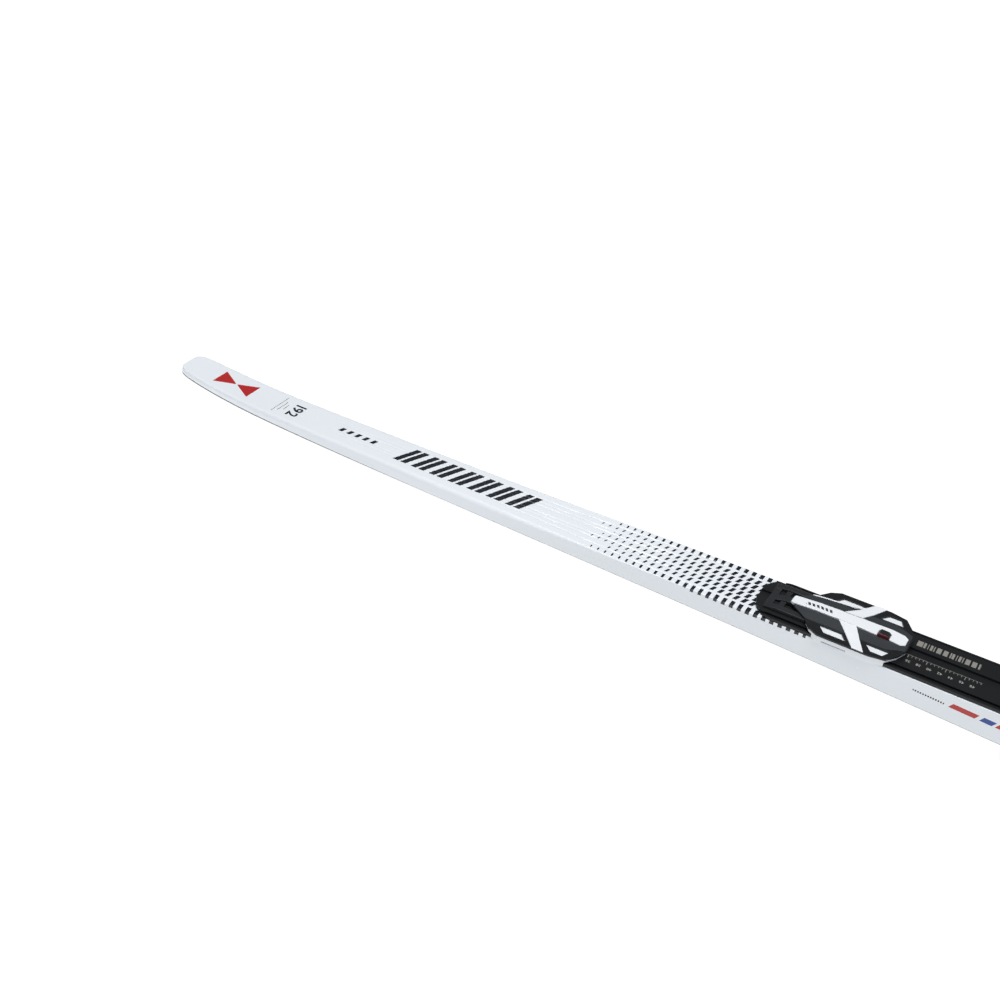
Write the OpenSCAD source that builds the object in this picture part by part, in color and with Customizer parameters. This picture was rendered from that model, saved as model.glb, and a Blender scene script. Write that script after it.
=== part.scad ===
// Cross country skating ski with its binding plate and a two-piece binding.
// The ski lies along X with its tip towards +X, +Y is its left side, and it stands on Z = 0.
// Lengths along the ski are counted from the tail end, and heights on the plate from the top sheet.

/* [Ski] */
// Length of the ski from tail to tip
ski_length = 1920; // [1900:10:1980]
// Width of the ski at its waist
ski_width = 44.2; // [43:0.2:46]
// Height of the unloaded arch under the middle of the ski
camber = 18.7; // [14:0.1:24]
// How far the tail end turns up
tail_rise = 5.2; // [3:0.2:8]
// How far the tip turns up
tip_rise = 34; // [28:1:40]
// Length of the turned-up tail
tail_bend = 107; // [90:1:120]
// Length of the turned-up tip
tip_bend = 205; // [180:5:230]

/* [Layers] */
// Thickness of the running base
base_t = 1.3; // [1:0.1:1.6]
// Thickness of the lower laminate
lower_t = 0.7; // [0.5:0.1:1]
// Thickness of the upper laminate
upper_t = 0.6; // [0.4:0.1:0.8]
// Thickness of the top sheet
sheet_t = 0.6; // [0.4:0.1:0.8]
// Half the width of the groove in the base
groove_half = 1.8; // [1:0.1:3]
// Depth of the groove in the base
groove_depth = 0.8; // [0.5:0.1:0.9]

/* [Binding plate] */
// Where the plate starts, from the tail end
plate_start = 572; // [568:1:576]
// Where the straight rear stretch meets the level front stretch
knee = 772; // [768:1:774]
// Where the plate ends
plate_end = 987; // [984:1:995]
// Height of the level stretch of the top sheet
deck_z = 43.9; // [43:0.1:45]
// Slope of the rear stretch in degrees
slope = 3.3; // [3:0.1:3.6]
// Half the width of the plate
plate_half = 21; // [20.9:0.1:21.1]
// Thickness of the plate's floor
floor_t = 1.6; // [1.5:0.1:1.7]
// Height of the plate's rails
rail_top = 3.4; // [3.3:0.1:3.4]

/* [Toe unit] */
// Rear end of the toe unit
toe_start = 776; // [774:1:777]
// Centre of the boot's toe bar, along the ski
bar_x = 858; // [857:0.5:858.5]
// Height of the toe bar's centre
bar_w = 21.5; // [21.3:0.1:21.6]
// Radius of the seat for the toe bar
bar_r = 2.05; // [2.02:0.01:2.08]
// Pivot of the lever, along the ski
lever_x = 881; // [881:0.1:881.2]
// Height of the lever's pivot
lever_w = 17.5; // [17.4:0.1:17.6]
// Angle of the lever's cam arm behind its pivot
cam_angle = 35; // [34:0.5:36]
// Length of the lever's cam arm
cam_arm = 8; // [7.9:0.1:8.1]

/* [Heel unit] */
// Where the heel unit's body starts
heel_start = 618; // [616:1:620]
// Where the heel unit's body ends
heel_end = 686.5; // [686:0.5:688]
// Centre of the release button, along the ski
button_x = 669; // [668.5:0.5:669.5]
// Offset of the release button towards the right side
button_y = -2.4; // [-2.6:0.1:-2]
// Travel of the release button
button_travel = 1.5; // [1.2:0.1:1.6]

/* [Hidden] */
$fn = 48;

half_length = ski_length / 2;
tip_start = ski_length - tip_bend;
arch_mid = (tail_bend + tip_start) / 2;
arch_half = (tip_start - tail_bend) / 2;
filler_length = 40;
inner = sheet_t + upper_t;

// Thickness of the ski behind and ahead of the plate, as [place, thickness]
thickness = [[0, 5.4], [80, 6.4], [200, 9.4], [350, 12.3], [470, 15.2], [plate_start - 4, 18.6]];
front_thickness = [[plate_end + 6, 25.6], [1100, 24], [1250, 20.3], [1400, 15.8], [1550, 11.6],
                   [tip_start, 8], [tip_start + 100, 6.4], [ski_length, 5.2]];
// Width of the ski, as [place, width]
widths = [[0, 21], [1.2, 25], [4, 29], [10, 32.4], [25, 35.6], [60, 38.8], [130, 41.2], [300, 43.6],
          [560, ski_width], [1000, ski_width], [1500, 43.6], [tip_start, 42.6],
          [tip_start + 90, 38], [ski_length - 60, 31.6], [ski_length - 30, 26.6],
          [ski_length - 12, 19.6], [ski_length - 3, 11], [ski_length, 5]];
// Lean of the side walls: how much narrower the top is on each side
leans = [[0, 1.2], [60, 2.2], [200, 2.4], [400, 1.4], [520, 0.6], [1100, 0.6], [1300, 1.4],
         [1600, 2.4], [ski_length, 1.2]];
// Radius of the edge between side and top
crests = [[0, 2.4], [350, 3.4], [460, 1.2], [540, 0.6], [1100, 0.6], [1300, 2], [1550, 3.4],
          [ski_length, 2]];

// ---- smooth curves through a few points ----
function slope_at(list, i) = let (a = max(i - 1, 0), b = min(i + 1, len(list) - 1))
    (list[b][1] - list[a][1]) / (list[b][0] - list[a][0]);
function piece_of(list, x) = max([for (i = [0:len(list) - 2]) if (i == 0 || x >= list[i][0]) i]);
function smooth(list, x) =
    let (i = piece_of(list, x), h = list[i + 1][0] - list[i][0], t = (x - list[i][0]) / h)
    (2 * t ^ 3 - 3 * t ^ 2 + 1) * list[i][1] + (t ^ 3 - 2 * t ^ 2 + t) * h * slope_at(list, i)
    + (3 * t ^ 2 - 2 * t ^ 3) * list[i + 1][1] + (t ^ 3 - t ^ 2) * h * slope_at(list, i + 1);

// Height of the running base above the ground
function base_z(x) =
    x < tail_bend ? tail_rise * ((tail_bend - x) / tail_bend) ^ 2
    : x > tip_start ? tip_rise * ((x - tip_start) / tip_bend) ^ 2.1
    : camber * (1 - ((x - arch_mid) / arch_half) ^ 2) ^ 1.6;
// Height of the top sheet: straight under the plate, and base plus thickness elsewhere
function top_z(x) =
    x < plate_start - 4 ? base_z(x) + smooth(thickness, x)
    : x < knee ? deck_z - (knee - x) * tan(slope)
    : x <= plate_end + 6 ? deck_z
    : base_z(x) + smooth(front_thickness, x);

// ---- the laminated ski, lofted through cross sections ----
sections = concat([0, 1.2, 2.6, 4.4, 7, 11, 17, 26, 40, 60, 83, 107], [for (x = [142:38:522]) x],
                  [545, plate_start - 4, 610, 650, 690, 731, knee, 815, 858, 901, 944, plate_end + 6],
                  [for (x = [1035:50:tip_start - 60]) x], [tip_start - 30, tip_start, tip_start + 30],
                  [for (x = [ski_length - 145:25:ski_length - 70]) x],
                  [for (b = [45, 30, 20, 12, 7, 3, 1, 0]) ski_length - b]);
tail_sections = [for (x = sections) if (x <= filler_length) x];
core_sections = [for (x = sections) if (x >= filler_length && x <= tip_start) x];
tip_sections = [for (x = sections) if (x >= tip_start) x];

// Half of a cap section lying "depth" inside the outer skin, from the base up to the top
function half_cap(x, depth) =
    let (w = smooth(widths, x) / 2, z0 = base_z(x) + base_t, z1 = top_z(x) - depth,
         lean = smooth(leans, x), r0 = min(smooth(crests, x), 0.6 * (top_z(x) - z0)),
         r = max(r0 - depth, 0.15), y1 = w - lean - depth - r, zs = z1 - r,
         share = lower_t / (zs - z0))
    concat([[w - depth, z0], [(w - depth) * (1 - share) + (y1 + r) * share, z0 + lower_t]],
           [for (a = [0:30:90]) [y1 + r * cos(a), zs + r * sin(a)]]);
function over(x, half) = concat([for (p = half) [x - half_length, -p[0], p[1]]],
    [for (i = [len(half) - 1:-1:0]) [x - half_length, half[i][0], half[i][1]]]);
function reverse(list) = [for (i = [len(list) - 1:-1:0]) list[i]];
function without_feet(list) = [for (i = [1:len(list) - 2]) list[i]];

// Solid through a row of closed sections; points from "turn" on run backwards along the
// neighbouring layer, so their squares are split the other way and the two layers match.
// "tiles" are the polygons that close a section at each end of the row
module loft(rows, turn, tiles) {
    n = len(rows[0]);
    m = len(rows);
    sides = [for (i = [0:m - 2], k = [0:n - 1])
        let (a = i * n + k, b = i * n + (k + 1) % n, c = b + n, d = a + n)
        each (k < turn ? [[a, c, d], [a, b, c]] : [[a, b, d], [b, c, d]])];
    polyhedron([for (row = rows) each row],
               concat(sides, [for (tile = tiles) reverse(tile)],
                      [for (tile = tiles) [for (k = tile) (m - 1) * n + k]]));
}
cap_points = 12;
module cap_layer(outer_depth, inner_depth)
    loft([for (x = sections) concat(over(x, half_cap(x, outer_depth)),
                                    reverse(over(x, half_cap(x, inner_depth))))],
         cap_points, [for (k = [0:cap_points - 2])
                      [k, k + 1, 2 * cap_points - 2 - k, 2 * cap_points - 1 - k]]);
module core_layer(rows)
    loft([for (x = rows) without_feet(over(x, half_cap(x, inner)))], cap_points - 2,
         [for (k = [0:cap_points / 2 - 3]) [k, k + 1, cap_points - 4 - k, cap_points - 3 - k]]);

module base_sheet() color([0.07, 0.08, 0.09])
    loft([for (x = sections)
        let (w = smooth(widths, x) / 2, z = base_z(x), g = groove_half)
        [for (p = [[-w, base_t], [w, base_t], [w, 0], [g, 0], [g, groove_depth],
                   [-g, groove_depth], [-g, 0], [-w, 0]]) [x - half_length, p[0], z + p[1]]]],
         8, [[0, 1, 4, 5], [0, 5, 6, 7], [1, 2, 3, 4]]);
module lower_laminate() color([0.2, 0.2, 0.21])
    loft([for (x = sections)
        let (cap = half_cap(x, inner), foot = cap[0], knee_point = cap[1])
        [for (p = [[-foot[0], foot[1]], [-knee_point[0], knee_point[1]],
                   [knee_point[0], knee_point[1]], foot]) [x - half_length, p[0], p[1]]]],
         4, [[0, 1, 2, 3]]);
module core() color([0.85, 0.78, 0.6]) core_layer(core_sections);
module tail_filler() color([0.3, 0.3, 0.32]) core_layer(tail_sections);
module tip_filler() color([0.3, 0.3, 0.32]) core_layer(tip_sections);
module upper_laminate() color([0.24, 0.24, 0.25]) cap_layer(sheet_t, inner);
module topsheet() color([0.93, 0.94, 0.96]) cap_layer(0, sheet_t);

// ---- places on the plate: x from the tail end, height from the top sheet ----
module front_frame() translate([-half_length, 0, deck_z]) children();
module rear_frame() translate([knee - half_length, 0, deck_z]) rotate([0, -slope, 0])
    translate([-knee, 0, 0]) children();
function rear_point(x, w) = [knee + (x - knee) * cos(slope) - w * sin(slope),
                             (x - knee) * sin(slope) + w * cos(slope)];
function knee_point(w) = [knee - w * tan(slope / 2), w];

// A side outline carried across the ski from y0 to y1
module across(outline, y0, y1)
    translate([0, y1, 0]) rotate([90, 0, 0]) linear_extrude(y1 - y0) polygon(outline);
module across_both(outline, y0, y1) {
    across(outline, y0, y1);
    across(outline, -y1, -y0);
}
module box(x0, x1, y0, y1, w0, w1) translate([x0, y0, w0]) cube([x1 - x0, y1 - y0, w1 - w0]);
module box_both(x0, x1, y0, y1, w0, w1) {
    box(x0, x1, y0, y1, w0, w1);
    box(x0, x1, -y1, -y0, w0, w1);
}
module rod_across(x, w, r, y0, y1)
    translate([x, y1, w]) rotate([90, 0, 0]) cylinder(r = r, h = y1 - y0);
module plan(outline, w0, w1) translate([0, 0, w0]) linear_extrude(w1 - w0) polygon(outline);
function mirrored(list) = concat(list, [for (i = [len(list) - 1:-1:0]) [list[i][0], -list[i][1]]]);

// ---- binding plate ----
platform_half = 16;
lip_half = 17.5;
channel_half = 3.5;
lip_w = 2.6;
rack_pitch = 3;
plate_round = 18.5;
plate_nose = 579;
screw_rows = [[650, "rear"], [800, "front"], [915, "front"]];
screw_y = 10;
screw_r = 1.9;

function band(w0, w1) = [rear_point(plate_start, w0), knee_point(w0), [plate_end, w0],
                         [plate_end, w1], knee_point(w1), rear_point(plate_start, w1)];
module plate_frame(kind) {
    if (kind == "rear") rear_frame() children();
    else front_frame() children();
}
module plate_bands() front_frame() {
    across(band(0, floor_t), -plate_half, plate_half);
    across_both(band(floor_t, rail_top), channel_half, platform_half);
    across_both(band(lip_w, rail_top), platform_half, lip_half);
    across_both(band(floor_t, floor_t + 0.8), plate_half - 1.2, plate_half);
}
module plate_outline() front_frame() translate([0, 0, -20]) linear_extrude(40) {
    translate([plate_nose + plate_round, -plate_half])
        square([plate_end - plate_nose - plate_round, 2 * plate_half]);
    translate([plate_nose, -plate_half + plate_round])
        square([plate_round, 2 * (plate_half - plate_round)]);
    for (side = [-1, 1]) translate([plate_nose + plate_round, side * (plate_half - plate_round)])
        circle(plate_round, $fn = 64);
}
module screw_shape(grow) {
    translate([0, 0, -9]) cylinder(r = screw_r + grow, h = 9 + rail_top);
    translate([0, 0, rail_top - 2.2]) cylinder(r1 = screw_r + grow, r2 = screw_r + 2 + grow, h = 2.1);
}
module binding_plate() color([0.09, 0.09, 0.1]) difference() {
    intersection() {
        plate_bands();
        plate_outline();
    }
    front_frame() across([[plate_end - 18, rail_top + 0.01], [plate_end + 1, 1], [plate_end + 1, 6],
                          [plate_end - 18, 6]], -30, 30);
    rear_frame() for (i = [0:17]) box(632 + i * rack_pitch, 633.4 + i * rack_pitch,
                                      -channel_half, channel_half, floor_t - 0.5, floor_t + 1);
    front_frame() for (i = [0:12]) box(936 + i * rack_pitch, 937.4 + i * rack_pitch,
                                       -channel_half, channel_half, floor_t - 0.5, floor_t + 1);
    for (row = screw_rows, side = [-1, 1]) plate_frame(row[1]) translate([row[0], side * screw_y, 0])
        screw_shape(0.1);
    for (row = screw_rows, side = [-1, 1]) plate_frame(row[1]) translate([row[0], side * screw_y, 0])
        translate([0, 0, rail_top - 0.1]) cylinder(r = screw_r + 2.1, h = 2);
}
module plate_screws() color([0.7, 0.7, 0.72])
    for (row = screw_rows, side = [-1, 1]) plate_frame(row[1])
        translate([row[0], side * screw_y, 0]) difference() {
            screw_shape(0);
            translate([0, 0, rail_top - 1.2]) cylinder(r = 1.1, h = 2);
            translate([0, 0, rail_top - 0.1]) cylinder(r = 6, h = 3);
            translate([0, 0, -9.01]) difference() {
                cylinder(r = 3, h = 3);
                cylinder(r1 = 0.3, r2 = screw_r, h = 3.001);
            }
        }

// Feet that hook under the lips of the plate's rails
hook_gap = 0.2;
module rail_hooks(x0, x1, top) {
    box_both(x0, x1, lip_half + 0.3, lip_half + 2.1, floor_t + 0.15, top);
    box_both(x0, x1, platform_half + 0.4, lip_half + 0.4, floor_t + 0.15, lip_w - hook_gap);
}

// ---- toe unit ----
toe_half = 24;
wall_in = 21.2;
under = rail_top + hook_gap;
deck_top = 6;
hub_r = 4.6;
lever_pin_r = 1.5;
blade_fall = 0.3;
blade_t = 2.3;
blade_x = lever_x + 5;
blade_w = lever_w + 3.9;
blade_tip = 931;
flexor_x = bar_x + 11.3;
flexor_r = 6.4;
flexor_w = 20;
flexor_foot = 13.6;
cover_x = 890.5;
lock_x = 947;
lock_w = 7.4;
lock_pin_r = 1.2;
cam_tip = [lever_x - cam_arm * sin(cam_angle), lever_w - cam_arm * cos(cam_angle)];
function blade_top(x) = blade_w - (x - blade_x) * blade_fall;

toe_plan = mirrored([[toe_start, 18.5], [toe_start + 3, 21.5], [toe_start + 9, toe_half],
                     [900, toe_half], [blade_tip - 2, 20.5], [blade_tip, 18]]);
wall_side = [[toe_start, 0.4], [toe_start, 5], [toe_start + 1.5, 9.4], [toe_start + 5, 10.8],
             [812, 13.2], [842, 16.6], [862, 18.6], [868, 19.2], [877, 20.8], [lever_x, 21.3],
             [blade_x, blade_top(blade_x) - 1], [blade_tip, blade_top(blade_tip) - 1], [blade_tip, 0.4]];
deck_side = [[toe_start, deck_top], [toe_start + 1.5, 9.2], [toe_start + 5, 9.9], [812, 12.4],
             [842, 15.8], [848, 16.4], [848, deck_top]];
module toe_rib(x) across_both([[x, 3], [x + 1.4, 3], [x + 1.4, 8 + (x - 800) * 0.1], [x, 8 + (x - 800) * 0.1]],
                              toe_half - 0.1, toe_half + 0.45);
module toe_housing() color([0.92, 0.93, 0.95]) front_frame() difference() {
    union() {
        intersection() {
            union() {
                across_both(wall_side, wall_in, toe_half);
                across(deck_side, -wall_in, wall_in);
                across([[cover_x, deck_top], [cover_x, blade_top(cover_x) - blade_t - 0.6],
                        [925, blade_top(925) - blade_t - 0.6], [925, deck_top]], -wall_in, wall_in);
            }
            plan(toe_plan, 0, 30);
        }
        for (i = [0:4]) toe_rib(812 + i * 8);
    }
    across([[780, deck_top - 1], [780, 8], [812, 10.2], [845.5, 14], [845.5, deck_top - 1]],
           -wall_in + 2, wall_in - 2);
    across([[cover_x + 2, deck_top - 1], [cover_x + 2, 14.4], [919, deck_top - 1]],
           -wall_in + 2.4, wall_in - 2.4);
    box(794, 808, -30, 30, -1, 3);
    box(847, 859, -30, 30, -1, 3);
    rod_across(flexor_x, flexor_w, flexor_r, -30, 30);
    rod_across(lever_x, lever_w, lever_pin_r, -22.8, 22.8);
}
module toe_base() color([0.1, 0.1, 0.11]) front_frame() difference() {
    union() {
        box(779, 929, -20.5, 20.5, under, deck_top);
        rail_hooks(786, 822, deck_top);
        rail_hooks(880, 922, deck_top);
        box_both(849, 861.5, 4.2, 9.5, deck_top, bar_w);
        box_both(863, 875.6, 9, 20.5, deck_top, flexor_foot);
        across_both([[864, deck_top], [864, 9], [889, 9], [889, deck_top]], 6.4, 8.2);
        across_both([[864, 8], [864, 9], [889, 9], [889, 8]], 4.6, 6.4);
        box(929, 950, -14, 14, under, 4.8);
        box_both(945, 949, 9, 12, 4.8, 9.2);
    }
    rod_across(bar_x, bar_w, bar_r, -12, 12);
    rod_across(lock_x, lock_w, lock_pin_r, -20, 20);
}
module boot_guide() color([0.12, 0.12, 0.13]) front_frame() {
    across([[783, 10.075], [784, 11.9], [812, 13.9], [842, 17.3], [848, 17.9], [848, 16.4],
            [842, 15.8], [812, 12.4]], -21, 21);
    across_both([[787, 11], [800, 17.6], [804, 18.6], [842, 22.2], [846, 21.6], [847.5, 18],
                 [847.5, 17], [842, 16.8], [812, 13.4]], 8.5, 13);
}
module flexor() color([0.07, 0.07, 0.08]) front_frame() difference() {
    rod_across(flexor_x, flexor_w, flexor_r, -23.2, 23.2);
    box(850, 890, -30, 30, 5, flexor_foot);
    box(850, 890, -30, 30, 24.3, 30);
    box(850, 873.6, -4, 4, 0, 40);
}
module lever_pin() color([0.72, 0.72, 0.74]) front_frame()
    rod_across(lever_x, lever_w, lever_pin_r, -22.8, 22.8);
module lever() color([0.08, 0.08, 0.09]) front_frame() difference() {
    union() {
        rod_across(lever_x, lever_w, hub_r, -20.8, 20.8);
        intersection() {
            across([[lever_x, lever_w], [lever_x, lever_w + hub_r], [blade_x - 2, lever_w + hub_r - 0.3],
                    [blade_x, blade_top(blade_x)], [blade_tip - 4, blade_top(blade_tip - 4)],
                    [blade_tip, blade_top(blade_tip) + 0.6],
                    [blade_tip, blade_top(blade_tip) - blade_t + 0.4],
                    [blade_x, blade_top(blade_x) - blade_t]], -20.8, 20.8);
            plan(mirrored([[lever_x - 10, 20.8], [blade_x + 8, 20.8], [blade_tip - 6, 17.4],
                           [blade_tip, 13]]), 0, 40);
        }
        translate([lever_x, 0, lever_w]) rotate([0, cam_angle, 0])
            translate([-1.2, -2.6, -cam_arm]) cube([2.4, 5.2, cam_arm]);
        rod_across(cam_tip[0], cam_tip[1], 1.5, -2.6, 2.6);
    }
    rod_across(lever_x, lever_w, lever_pin_r + 0.06, -25, 25);
}
// The claw's hook reaches over the toe bar; two posts take the lever's cam between them
claw_gap = 1.85;
module claw() color([0.75, 0.75, 0.77]) front_frame() {
    box(862.4, cam_tip[0] + 3.9, -6, 6, 6.3, 7.7);
    box(bar_x + 2.4, bar_x + 4.6, -3.4, 3.4, 6.3, 25.3);
    across([[bar_x + 2.4, 25.3], [bar_x + 2.4, 23.75], [bar_x - 1.6, 23.75], [bar_x - 2.6, 23.2],
            [bar_x - 2.8, 23.9], [bar_x - 1.4, 25.3]], -3.4, 3.4);
    box(cam_tip[0] - claw_gap - 2, cam_tip[0] - claw_gap, -3.4, 3.4, 7.7, cam_tip[1] + 0.35);
    box(cam_tip[0] + claw_gap, cam_tip[0] + claw_gap + 2, -3.4, 3.4, 7.7, cam_tip[1] + 0.35);
}
lock_tail = 933.5;
lock_nose = 957;
module toe_lock() color([0.92, 0.93, 0.95]) front_frame() difference() {
    union() {
        difference() {
            intersection() {
                across([[lock_tail, 6.4], [lock_tail + 1.6, 15], [lock_tail + 4, 15.6], [950, 11],
                        [lock_nose, 6.6], [lock_nose, 5.2], [lock_tail + 2.4, 5.2],
                        [lock_tail + 2.4, 6.4]], -19.3, 19.3);
                plan(mirrored([[lock_tail, 17.6], [lock_tail + 2, 19.3], [950, 19.3],
                               [lock_nose, 14]]), 0, 30);
            }
            across([[lock_tail + 1, 3], [lock_tail + 1, 6.45], [lock_tail + 2.6, 6.45],
                    [lock_tail + 3.4, 13.2], [lock_tail + 4.4, 13.6], [949.4, 9.5],
                    [954.6, 6.2], [954.6, 3]], -17, 17);
        }
        across([[951, 1.75], [953.4, 1.75], [954.6, 3], [954.6, 8], [951, 9.6]], -2.6, 2.6);
    }
    rod_across(lock_x, lock_w, lock_pin_r + 0.06, -30, 30);
}
module toe_lock_pin() color([0.72, 0.72, 0.74]) front_frame()
    rod_across(lock_x, lock_w, lock_pin_r, -18.8, 18.8);

// A coil spring standing along Z, as a swept tube
function coil_point(t, r, h, turns) = [r * cos(360 * turns * t), r * sin(360 * turns * t), h * t];
module coil(r, wire, h, turns) {
    steps = turns * 10;
    rings = [for (i = [0:steps]) let (t = i / steps, c = coil_point(t, r, h, turns),
                                      a = 360 * turns * t)
        [for (b = [0:60:300]) c + wire * [cos(b) * cos(a), cos(b) * sin(a), sin(b)]]];
    sides = [for (i = [0:steps - 1], k = [0:5])
        let (a = i * 6 + k, b = i * 6 + (k + 1) % 6, c = b + 6, d = a + 6)
        each [[a, d, c], [a, c, b]]];
    polyhedron([for (ring = rings) each ring],
               concat(sides, [[for (k = [0:5]) k], [for (k = [5:-1:0]) steps * 6 + k]]));
}
spring_x = 939.8;
module toe_lock_spring() color([0.7, 0.7, 0.72]) front_frame()
    translate([spring_x, 0, 5.25]) coil(2.4, 0.4, 6, 6);

// ---- heel unit ----
heel_deck = 6.6;
cover_w = 8;
ridge_w = 9.2;
facet_half = 14;
ridge_end_w = 8;
heel_plan = mirrored([[heel_start, 15], [heel_start + 5, 21], [heel_start + 12, 24.6],
                      [666, 24.6], [677, 22.6], [683, 15], [heel_end, 7]]);
heel_base_plan = mirrored([[heel_start + 0.8, 14], [heel_start + 5.6, 20.2], [heel_start + 12.4, 23.9],
                           [665.6, 23.9], [676, 21.8], [682, 14.6], [heel_end - 0.8, 6.4]]);
rear_window = [[628, 14.3], [644, 14.3], [649, 20.4], [633.5, 20.4]];
front_window = [[660.5, 14.4], [677.5, 14.4], [674, 20.4], [666, 20.4]];
module both_sides() {
    children();
    mirror([0, 1, 0]) children();
}
rocker_x = 660;
rocker_w = 5.4;
rocker_pin_r = 0.9;
rocker_half = 2.6;
module heel_base() color([0.92, 0.93, 0.95]) rear_frame() difference() {
    union() {
        plan(heel_base_plan, under, heel_deck);
        intersection() {
            plan(heel_base_plan, 0.5, heel_deck);
            box_both(heel_start, heel_end, plate_half + 0.5, 26, 0, heel_deck);
        }
        rail_hooks(630, 646, heel_deck);
        rail_hooks(658, 672, heel_deck);
    }
    box(647, 676, -3.1, 3.1, 0, 10);
    box(634, 651, -30, -21.2, -1, 2.8);
    box(634, 651, 21.2, 30, -1, 2.8);
    rod_across(rocker_x, rocker_w, rocker_pin_r, -7, 7);
    box(675.9, 680.1, -2.2, 2.2, 4.2, 10);
}
spine_w = 10.4;
ridge_side = [[606, heel_deck], [606, cover_w], [622, ridge_w], [672, ridge_w],
              [heel_end, ridge_end_w], [heel_end, heel_deck]];
ridge_section = [[-facet_half, 0], [-facet_half, cover_w], [-5.4, ridge_w], [5.4, ridge_w],
                 [facet_half, cover_w], [facet_half, 0]];
module along(section, x0, x1) translate([x0, 0, 0]) rotate([90, 0, 90])
    linear_extrude(x1 - x0) polygon(section);
module heel_cover() color([0.1, 0.1, 0.11]) rear_frame() difference() {
    union() {
        plan(heel_plan, heel_deck, cover_w);
        intersection() {
            across(ridge_side, -facet_half, facet_half);
            along(ridge_section, 600, 690);
            plan(mirrored([[606, 6], [618, facet_half], [672, facet_half], [heel_end, 8]]), 0, 20);
        }
    }
    both_sides() plan(rear_window, 0, 20);
    both_sides() plan(front_window, 0, 20);
    box(646.5, 656, -3.4, 3.4, 0, 8.7);
    box(655.9, 676.5, -3.4, 3.4, 0, 8.1);
    box(button_x - 4.3, button_x + 4.3, button_y - 3, button_y + 3, 0, 20);
}
spine_end = 684;
spine_side = [[602.5, 6.8], [603.5, 8.9], [622, spine_w], [672, spine_w], [spine_end, 8.9],
              [spine_end, ridge_w - (ridge_w - ridge_end_w) * (spine_end - 672) / (heel_end - 672)],
              [672, ridge_w], [622, ridge_w], [606, cover_w], [606, 6.8]];
spine_plan = mirrored([[602.5, 2.6], [604.5, 4], [640, 4.6], [672, 5.3], [681, 5.3], [spine_end, 3.4]]);
strut_plan = [[638, 4.4], [650.5, 4.4], [662.5, 24.5], [654.5, 24.5], [646, 13.4]];
strut_section = [[4.4, ridge_w], [5.4, ridge_w], [facet_half, cover_w], [24.5, cover_w],
                 [24.5, cover_w + 0.8], [14.2, cover_w + 0.9], [5.2, ridge_w + 1.1],
                 [4.4, ridge_w + 1.1]];
module heel_spine() color([0.94, 0.95, 0.97]) rear_frame() difference() {
    union() {
        intersection() {
            across(spine_side, -6, 6);
            plan(spine_plan, 0, 20);
        }
        both_sides() intersection() {
            plan(strut_plan, 0, 20);
            along(strut_section, 630, 670);
        }
    }
    box(button_x - 4.3, button_x + 4.3, button_y - 3, button_y + 3, 0, 20);
}
module heel_tongue() color([0.09, 0.09, 0.1]) rear_frame() {
    across_both([[587, under], [587, 4.6], [596, 6.4], [heel_start, 6.4], [heel_start, under]], 9, 13.9);
    box(587, 592, -13.9, 13.9, under, 4.6);
    across([[592, under], [592, 4.6], [598, 6.4], [604, 6.8], [606, 6.8], [606, under]], -3, 3);
    box(596, 600, -9, 9, under, 5);
}
button_top = spine_w + button_travel + 0.2;
module heel_button() color([0.12, 0.1, 0.1]) rear_frame() {
    intersection() {
        box(button_x - 4, button_x + 4, button_y - 2.7, button_y + 2.7, 8.9, 20);
        across([[button_x - 4, 8.9], [button_x - 4, button_top - 1.2], [button_x - 2.8, button_top],
                [button_x + 2.8, button_top - 0.2], [button_x + 4, button_top - 1.4],
                [button_x + 4, 8.9]], -8, 8);
    }
    box(button_x - 0.5, button_x + 0.5, -2.4, -0.4, heel_deck + 0.1, 9);
}
module heel_pawl() color([0.72, 0.72, 0.74]) rear_frame() difference() {
    across([[648.6, 4.6], [649.6, 1.75], [652, 1.75], [653, 4.2], [658, 4.2], [671.5, 5], [671.5, 6.6],
            [650, 6.6]], -rocker_half, rocker_half);
    rod_across(rocker_x, rocker_w, rocker_pin_r + 0.05, -8, 8);
}
module heel_pawl_pin() color([0.72, 0.72, 0.74]) rear_frame()
    rod_across(rocker_x, rocker_w, rocker_pin_r, -7, 7);
module heel_spring() color([0.7, 0.7, 0.72]) rear_frame()
    across([[666, 4.25], [666, 4.6], [678, 4.75], [678, 5.4], [680, 5.4], [680, 4.3]], -2.1, 2.1);

base_sheet();
lower_laminate();
core();
tail_filler();
tip_filler();
upper_laminate();
topsheet();
binding_plate();
plate_screws();
toe_base();
toe_housing();
boot_guide();
flexor();
lever();
lever_pin();
claw();
toe_lock();
toe_lock_pin();
toe_lock_spring();
heel_base();
heel_cover();
heel_spine();
heel_tongue();
heel_button();
heel_pawl();
heel_pawl_pin();
heel_spring();
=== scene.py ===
import math

import bmesh
import bpy
import numpy as np
from mathutils import Matrix, Vector


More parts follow.
